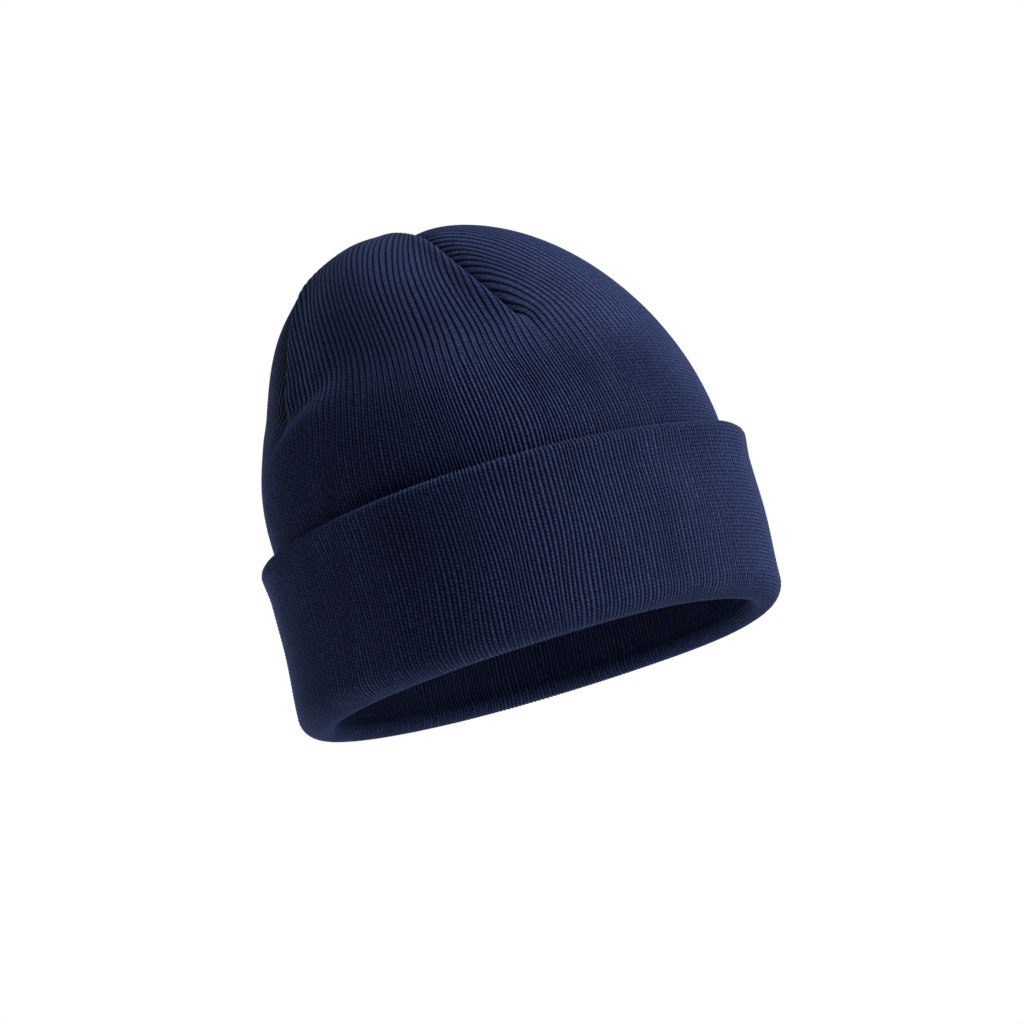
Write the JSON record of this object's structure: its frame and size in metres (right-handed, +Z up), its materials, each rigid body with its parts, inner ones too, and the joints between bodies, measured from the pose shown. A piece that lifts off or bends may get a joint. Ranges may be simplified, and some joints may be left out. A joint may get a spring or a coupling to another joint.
{
  "type": "knit beanie",
  "caption": "Double-layer rib-knit winter hat with a soft domed crown gathered by darts and a deep turned-up cuff that can be turned down.",
  "frame": {"origin": "centre of the head opening, on the surface that the brim rests on", "axes": "+Z up through the crown, -Y to the front dart, +X to the wearer's side right of it"},
  "size_m": [0.2, 0.2, 0.1815],
  "materials": {
    "knit_outside": "fine rib knit, soft and matt with a faint bloom of fibre",
    "knit_inside": "the same rib knit, in the shade of the hat's inside",
    "seam_thread": "overlock thread on folded knit"
  },
  "bodies": {
    "crown": {"crown_shell": "knit_outside", "inner_lining": "knit_inside", "shell_dart_seam_front": "seam_thread", "shell_dart_seam_right": "seam_thread", "shell_dart_seam_back": "seam_thread", "shell_dart_seam_left": "seam_thread", "lining_dart_seam_front": "seam_thread", "lining_dart_seam_right": "seam_thread", "lining_dart_seam_back": "seam_thread", "lining_dart_seam_left": "seam_thread", "crown_tack": "seam_thread"},
    "brim": {"brim_roll": "knit_outside", "cuff_band": "knit_outside"},
    "cuff_edge": {"cuff_edge_fold": "knit_outside"}
  },
  "joints": [
    {"name": "cuff_turn_down", "type": "slide", "parent": "crown", "child": "brim", "axis": [0, 0, -1], "range_m": [0, 0.036]},
    {"name": "cuff_edge_travel", "type": "slide", "parent": "brim", "child": "cuff_edge", "axis": [0, 0, -1], "range_m": [0, 0.036], "deforming": ["cuff_band"]}
  ],
  "couplings": [
    {"joint": "cuff_edge_travel", "follows": "cuff_turn_down", "ratio": 1}
  ]
}
